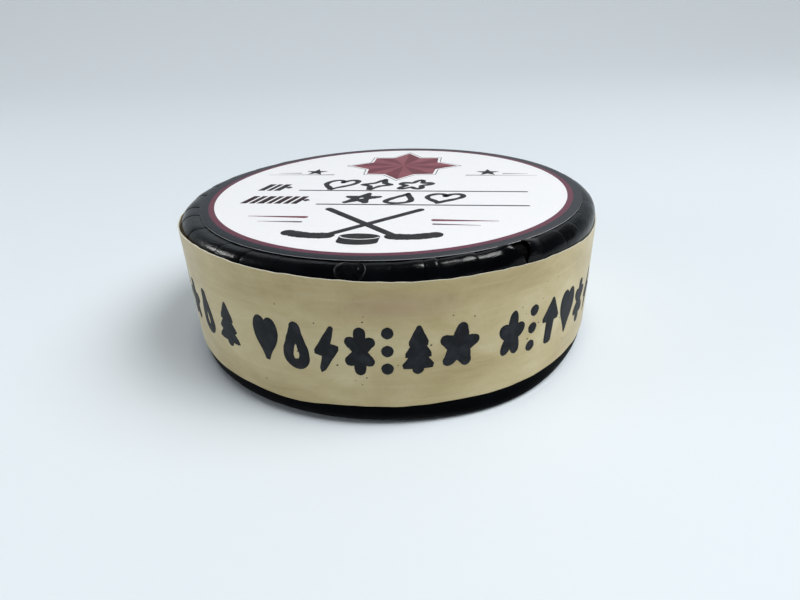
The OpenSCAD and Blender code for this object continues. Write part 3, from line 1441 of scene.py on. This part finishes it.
    def small_puck(self) -> list[Shape]:
        """A puck seen from the side: the hull of two ellipses, with a paper line on its face.

        Returns:
            The shapes, each with its finish number.
        """
        middle, across, deep, tall = (-0.5, -27.1), 3.15, 1.2, 2.2
        upper = arc((middle[0], middle[1] + tall / 2.0), (across, deep), 0.0, 180.0)
        lower = arc((middle[0], middle[1] - tall / 2.0), (across, deep), 180.0, 360.0)
        body = plate(np.concatenate([upper, lower]), middle, self.lay, 0.03, Ink.DARK)
        line = arc((middle[0], middle[1] + tall / 2.0), (across * 0.96, deep), 190.0, 350.0)
        return [body, stroke(line, 0.12, self.lay, 0.04, finish=Ink.WHITE)]

    def build(self) -> None:
        """Makes all the ink on the label as one piece."""
        shapes = [*self.emblem(), *self.stars_and_rules(), *self.rows(), *self.pen_sketches(), *self.accents(),
                  *self.sticks(), *self.small_puck()]
        make_piece("label_print", join_shapes(shapes), self.finishes)


# ---------------------------------------------------------------- doodles


@dataclass(frozen=True)
class Doodle:
    """One marker doodle: its drawing, its place round from the front, half its width, and its lean."""

    draw: Callable[[], list[Mark]]
    along: float
    half_width: float
    lean_deg: float = 0.0


@dataclass
class MarkerDoodles:
    """A row of bold marker doodles round the front of the band."""

    lay: Lay
    ink: bpy.types.Material
    middle_z: float = 13.65
    half_height: float = 4.03
    half_stroke: float = 0.88
    half_outline: float = 0.4
    slope: float = -0.055
    slope_from: float = 6.0
    doodles: tuple[Doodle, ...] = (
        Doodle(heart, -52.4, 2.3), Doodle(sparkle, -46.4, 2.5, -4.0), Doodle(five_star, -40.4, 2.7, 4.0),
        Doodle(drop, -34.4, 2.3, -3.0), Doodle(tree, -27.8, 2.7, 2.0),
        Doodle(heart, -19.3, 2.3, 3.0), Doodle(drop, -14.1, 2.45, 3.0), Doodle(flash, -9.3, 2.2, 2.0),
        Doodle(snow_star, -4.4, 2.4, 2.0), Doodle(dots, -0.5, 0.95, 2.0), Doodle(tree, 3.9, 2.5, 2.0),
        Doodle(five_star, 9.9, 3.1, 8.0),
        Doodle(blossom, 18.6, 2.5, 6.0), Doodle(dots, 22.7, 0.95, 4.0), Doodle(up_arrow, 27.0, 2.3, 6.0),
        Doodle(heart, 32.0, 2.4, 4.0), Doodle(snow_star, 37.2, 2.4, 4.0), Doodle(flash, 42.6, 2.2, 3.0),
        Doodle(sparkle, 48.0, 2.5, 5.0), Doodle(tree, 53.6, 2.5, 2.0),
    )
    speck_count: int = 40

    def marks(self, doodle: Doodle, number: int) -> list[Shape]:
        """A doodle's marks, each a little higher than the last so that none lie in one plane.

        A filled mark is a plate of ink with a thin stroke round it, which rounds its corners.

        Args:
            doodle: The doodle and its place.
            number: Its place in the row, which chooses the wander of its strokes.

        Returns:
            The strokes and plates.
        """
        lean = np.radians(-doodle.lean_deg)
        turn = np.array([[np.cos(lean), np.sin(lean)], [-np.sin(lean), np.cos(lean)]])
        place = np.array([doodle.along, self.middle_z + self.slope * max(doodle.along - self.slope_from, 0.0)])
        shapes = []
        for k, mark in enumerate(doodle.draw()):
            half = self.half_outline if mark.filled else self.half_stroke
            size = np.array([doodle.half_width, self.half_height]) - half
            path = mark.path * size @ turn + place
            level = 0.03 + 0.004 * (k % 5)
            shapes.append(stroke(path, half, self.lay, level, wobble=0.05, seed=10 * number + k))
            if mark.filled:
                middle = tuple(np.array(mark.middle) * size @ turn + place)
                shapes.append(plate(path[:-1], middle, self.lay, level + 0.012))
        return shapes

    def specks(self) -> list[Shape]:
        """Tiny blots that the marker left round the strokes.

        Returns:
            The blots.
        """
        rng = np.random.default_rng(41)
        along = rng.uniform(-24.0, 34.0, self.speck_count)
        up = self.middle_z + rng.normal(0.0, 4.2, self.speck_count)
        size = rng.uniform(0.04, 0.11, self.speck_count)
        return [stroke(np.array([(x, z), (x + r, z + 0.5 * r)]), r, self.lay, 0.012)
                for x, z, r in zip(along, up, size) if abs(z - self.middle_z) < 7.5]

    def build(self) -> None:
        """Makes all the marker ink as one piece."""
        shapes = [shape for number, doodle in enumerate(self.doodles) for shape in self.marks(doodle, number)]
        make_piece("marker_doodles", join_shapes(shapes + self.specks()), [self.ink])


# ---------------------------------------------------------------- edge dot


@dataclass
class EdgeDot:
    """A round film draped over the rounded upper edge, with a raised bead round its rim."""

    sizes: DiscSizes
    film: bpy.types.Material
    # Finish of the bead, whose lighter grey patches are a painted highlight on the ring.
    bead: bpy.types.Material
    radius: float = 2.28
    azimuth_deg: float = -97.7
    tilt_deg: float = 60.0
    lowest_deg: float = 14.0
    film_mm: float = 0.03
    foot_mm: float = -0.1
    bead_mm: float = 0.1
    bead_at: float = 0.91
    bead_width: float = 0.055
    bead_span: tuple[float, float] = (0.88, 0.96)
    clearance: float = 0.33

    def drape(self, across: Array, up: Array, height: Array) -> Array:
        """Bends flat distances onto the rounded edge: up follows the quarter circle, across the rim.

        Args:
            across: Distance along the rim.
            up: Distance up the rounded edge.
            height: Height above it.

        Returns:
            The points, in millimetres.
        """
        edge = self.sizes.edge_r + self.clearance
        turned, level = np.radians(self.tilt_deg) + up / edge, np.radians(90.0)
        turn = np.clip(turned, np.radians(self.lowest_deg), level)
        past = np.maximum(turned - level, 0.0) * edge
        r = self.sizes.puck_r - self.sizes.edge_r + (edge + height) * np.cos(turn) - past
        z = self.sizes.puck_high - self.sizes.edge_r + (edge + height) * np.sin(turn)
        angle = np.radians(self.azimuth_deg) + across / self.sizes.puck_r
        return around_axis(r, angle, z)

    def build(self) -> None:
        """Makes the film as rings round its middle: thin inside, a round bead near the rim.

        The height at the share q of the radius is a thin film plus bead * exp(-((q - at) / width)^2),
        and a second, lower bead curls inside it.
        """
        q = np.linspace(0.06, 1.0, 34)[:, None]
        turn = np.linspace(0.0, 2.0 * np.pi, 96, endpoint=False)[None, :]
        bead = self.bead_mm * np.exp(-(((q - self.bead_at) / self.bead_width) ** 2))
        height = self.film_mm + bead * (0.75 + 0.25 * np.cos(turn - 2.6))
        curl = 0.42 + 0.05 * np.cos(2.0 * turn)
        height = height + 0.05 * np.exp(-(((q - curl) / 0.06) ** 2)) * smoothstep(np.cos(turn + 0.9), -0.2, 0.6)
        height = height * smoothstep(1.0 - q, 0.0, 0.03)
        across = self.radius * q * np.cos(turn)
        up = 0.86 * self.radius * q * np.sin(turn)
        top = self.drape(across, up, height)
        foot = self.drape(across, up, np.full_like(height, self.foot_mm))[::-1]
        middle = [self.drape(np.zeros(1), np.zeros(1), np.full(1, h))[0] for h in (self.film_mm, self.foot_mm)]
        shape = capped_tube(np.concatenate([top, foot]), middle[0], middle[1])
        ring = np.repeat(np.append(q[:, 0], np.zeros(len(q)))[:-1], turn.size)
        # The bead's quads take the second finish, whose grey patches are a painted highlight on the ring.
        shape.quad_finish = ((ring > self.bead_span[0]) & (ring < self.bead_span[1])).astype(int)
        make_piece("glossy_dot", shape, [self.film, self.bead], "edge_dot")


# ---------------------------------------------------------------- studio


@dataclass(frozen=True)
class SoftBox:
    """A square lamp that either lights things or only shows as a highlight on glossy ones.

    Its place and size are in metres, its power in watts.
    """

    name: str
    place: tuple[float, float, float]
    size: float
    power: float
    highlight: bool = True

    def make(self) -> None:
        """Hangs the lamp so that it faces the puck."""
        data = bpy.data.lights.new(self.name, "AREA")
        data.size = self.size
        data.energy = self.power
        lamp = put_in_scene(self.name, data)
        lamp.location = self.place
        lamp.visible_glossy = self.highlight
        lamp.visible_diffuse = not self.highlight
        lamp.rotation_euler = (-Vector(self.place)).to_track_quat("-Z", "Y").to_euler()


@dataclass(frozen=True)
class Sky:
    """Even light from a patch of sky: its name, direction, strength and how wide the patch is."""

    name: str
    direction: tuple[float, float, float]
    strength: float
    spread_deg: float

    def make(self) -> None:
        """Sets it up so that it lights things but doesn't show in glossy ones."""
        data = bpy.data.lights.new(self.name, "SUN")
        data.energy = self.strength
        data.angle = np.radians(self.spread_deg)
        lamp = put_in_scene(self.name, data)
        lamp.rotation_euler = (-Vector(self.direction)).to_track_quat("-Z", "Y").to_euler()
        lamp.visible_glossy = False


@dataclass
class Studio:
    """A pale floor that slopes up far behind, soft light and the camera."""

    floor_finish: FloorFinish = FloorFinish()
    world_colour: Colour = (0.86, 0.93, 1.0)
    world_strength: float = 0.13
    skies: tuple[Sky, ...] = (
        Sky("high_light", (0.82, -0.09, 1.0), 1.42, 38.0),
        Sky("top_light", (0.0, -0.15, 1.0), 0.62, 22.0),
    )
    boxes: tuple[SoftBox, ...] = (
        SoftBox("strip_softbox", (0.19, 0.25, 0.58), 0.2, 2.4),
        SoftBox("left_window", (-0.62, 0.28, 0.42), 0.12, 1.1),
        SoftBox("key_light", (0.32, -0.18, 0.50), 0.3, 1.45, False),
        SoftBox("left_fill", (-0.70, -0.14, 0.16), 0.3, 1.3, False),
    )
    lens: float = 24.0
    elevation_deg: float = 27.57
    roll_deg: float = 2.15
    distance: float = 115.5
    target: tuple[float, float, float] = (1.54, 0.9, 1.2)

    def floor(self) -> None:
        """A strip whose profile runs flat from the front, then bends up into a straight slope."""
        back, bend_r, slope, length, wide = 0.5, 1.2, np.radians(38.0), 4.0, 6.0
        turn = np.linspace(0.0, slope, 25)
        y = np.concatenate([[-3.0, 0.0], back + bend_r * np.sin(turn)])
        z = np.concatenate([[0.0, 0.0], bend_r * (1.0 - np.cos(turn))])
        y, z = np.append(y, y[-1] + length * np.cos(slope)), np.append(z, z[-1] + length * np.sin(slope))
        x = np.array([-wide, wide])[:, None]
        points = np.stack(np.broadcast_arrays(x, y, z), -1).reshape(-1, 3)
        mesh = bpy.data.meshes.new("floor")
        mesh.from_pydata(points.tolist(), [], grid_quads(2, len(y)).tolist())
        mesh.polygons.foreach_set("use_smooth", np.ones(len(mesh.polygons), bool))
        mesh.materials.append(self.floor_finish.make())
        sweep = put_in_scene("floor", mesh)

    def light(self) -> None:
        """The pale surroundings and the lamps."""
        world = bpy.data.worlds.new("surroundings")
        world.use_nodes = True
        background = world.node_tree.nodes["Background"]
        background.inputs["Color"].default_value = (*self.world_colour, 1.0)
        background.inputs["Strength"].default_value = self.world_strength
        bpy.context.scene.world = world
        for lamp in (*self.skies, *self.boxes):
            lamp.make()

    def camera(self) -> None:
        """A camera that looks at the target from the front and above, with a slight roll."""
        tilt, roll = np.radians(self.elevation_deg), np.radians(self.roll_deg)
        forward = np.array([0.0, np.cos(tilt), -np.sin(tilt)])
        right, up = np.array([1.0, 0.0, 0.0]), np.array([0.0, np.sin(tilt), np.cos(tilt)])
        turned_right = np.cos(roll) * right - np.sin(roll) * up
        turned_up = np.sin(roll) * right + np.cos(roll) * up
        data = bpy.data.cameras.new("camera")
        data.lens = self.lens
        data.sensor_width = 36.0
        data.clip_start = 0.005
        data.clip_end = 20.0
        camera = put_in_scene("camera", data)
        place = (np.array(self.target) - self.distance * forward) * MM
        camera.matrix_world = Matrix.Translation(place) @ Matrix(
            np.stack([turned_right, turned_up, -forward], -1).tolist()).to_4x4()
        bpy.context.scene.camera = camera

    def build(self) -> None:
        """Sets up the camera, the floor and the light."""
        self.camera()
        self.floor()
        self.light()
        bpy.context.scene.view_settings.view_transform = "Standard"


# ---------------------------------------------------------------- all together


def main() -> None:
    """Builds the studio, then every piece from the inside out."""
    logging.basicConfig(level=logging.INFO, format="%(name)s: %(message)s")
    sizes = DiscSizes.from_frame()
    Studio().build()
    PuckCore().dress()
    # The lower margin gets a shaded copy of the tape, with almost no shine and rougher: painted shade that keeps the
    # underside edge as dark as its shadow.
    lower_tape_painted_shade = TapeFinish("black_tape_painted_shade", shine=0.02, roughness=(0.4, 0.6)).make()
    EdgeWrap(sizes, TapeFinish().make(), lower_tape_painted_shade).build()
    # The band's cut edges are painted paler than the paper: partly the cut edge's own tone, partly a painted highlight
    # along them.
    band_cut = PaperFinish("band_cut_edge_painted_highlight", (0.62, 0.60, 0.48), (0.75, 0.73, 0.62)).make()
    form = BandForm(sizes.band_r)
    SideBand(form, BandFinish().make(), band_cut).build()
    white = PaperFinish("label_white", (0.93, 0.935, 0.95), (0.90, 0.905, 0.92)).make()
    ring_red = PaperFinish("border_red", (0.125, 0.028, 0.052), (0.165, 0.05, 0.078), shine=0.25).make()
    border = PaperFinish("border_grey", (0.014, 0.018, 0.024), (0.026, 0.032, 0.04), shine=0.3).make()
    label = TopLabel(sizes, [white, ring_red, border])
    label.build()
    red = InkFinish("print_red", (0.15, 0.03, 0.045), (0.22, 0.06, 0.08), 0.45, 260.0).make()
    red_light = InkFinish("print_red_light", (0.24, 0.065, 0.085), (0.31, 0.11, 0.13), 0.45, 260.0).make()
    dark = InkFinish("print_dark", (0.012, 0.012, 0.014), (0.04, 0.04, 0.042), 0.5, 900.0).make()
    dark_red = InkFinish("print_dark_red", (0.02, 0.006, 0.011), (0.045, 0.014, 0.022), 0.5, 900.0).make()
    grey = InkFinish("print_grey", (0.05, 0.03, 0.035), (0.12, 0.08, 0.09), 0.5).make()
    pen = InkFinish("pen_ink", (0.008, 0.008, 0.010), (0.03, 0.03, 0.033), 0.42).make()
    inks = [red, red_light, dark, grey, pen, white, dark_red]
    LabelPrint(LabelLay(sizes.label_middle, label.face_z), inks).build()
    marker = InkFinish("marker_ink", (0.003, 0.004, 0.006), (0.022, 0.025, 0.032), 0.5, 420.0).make()
    MarkerDoodles(BandLay(form), marker).build()
    # The bead's finish is near black with lighter grey patches: a painted highlight that makes the ring show.
    bead = InkFinish("dot_bead_painted_highlight", (0.002, 0.002, 0.003), (0.045, 0.047, 0.05), 0.4, 420.0).make()
    EdgeDot(sizes, DotFinish().make(), bead).build()


if __name__ == "__main__":
    main()
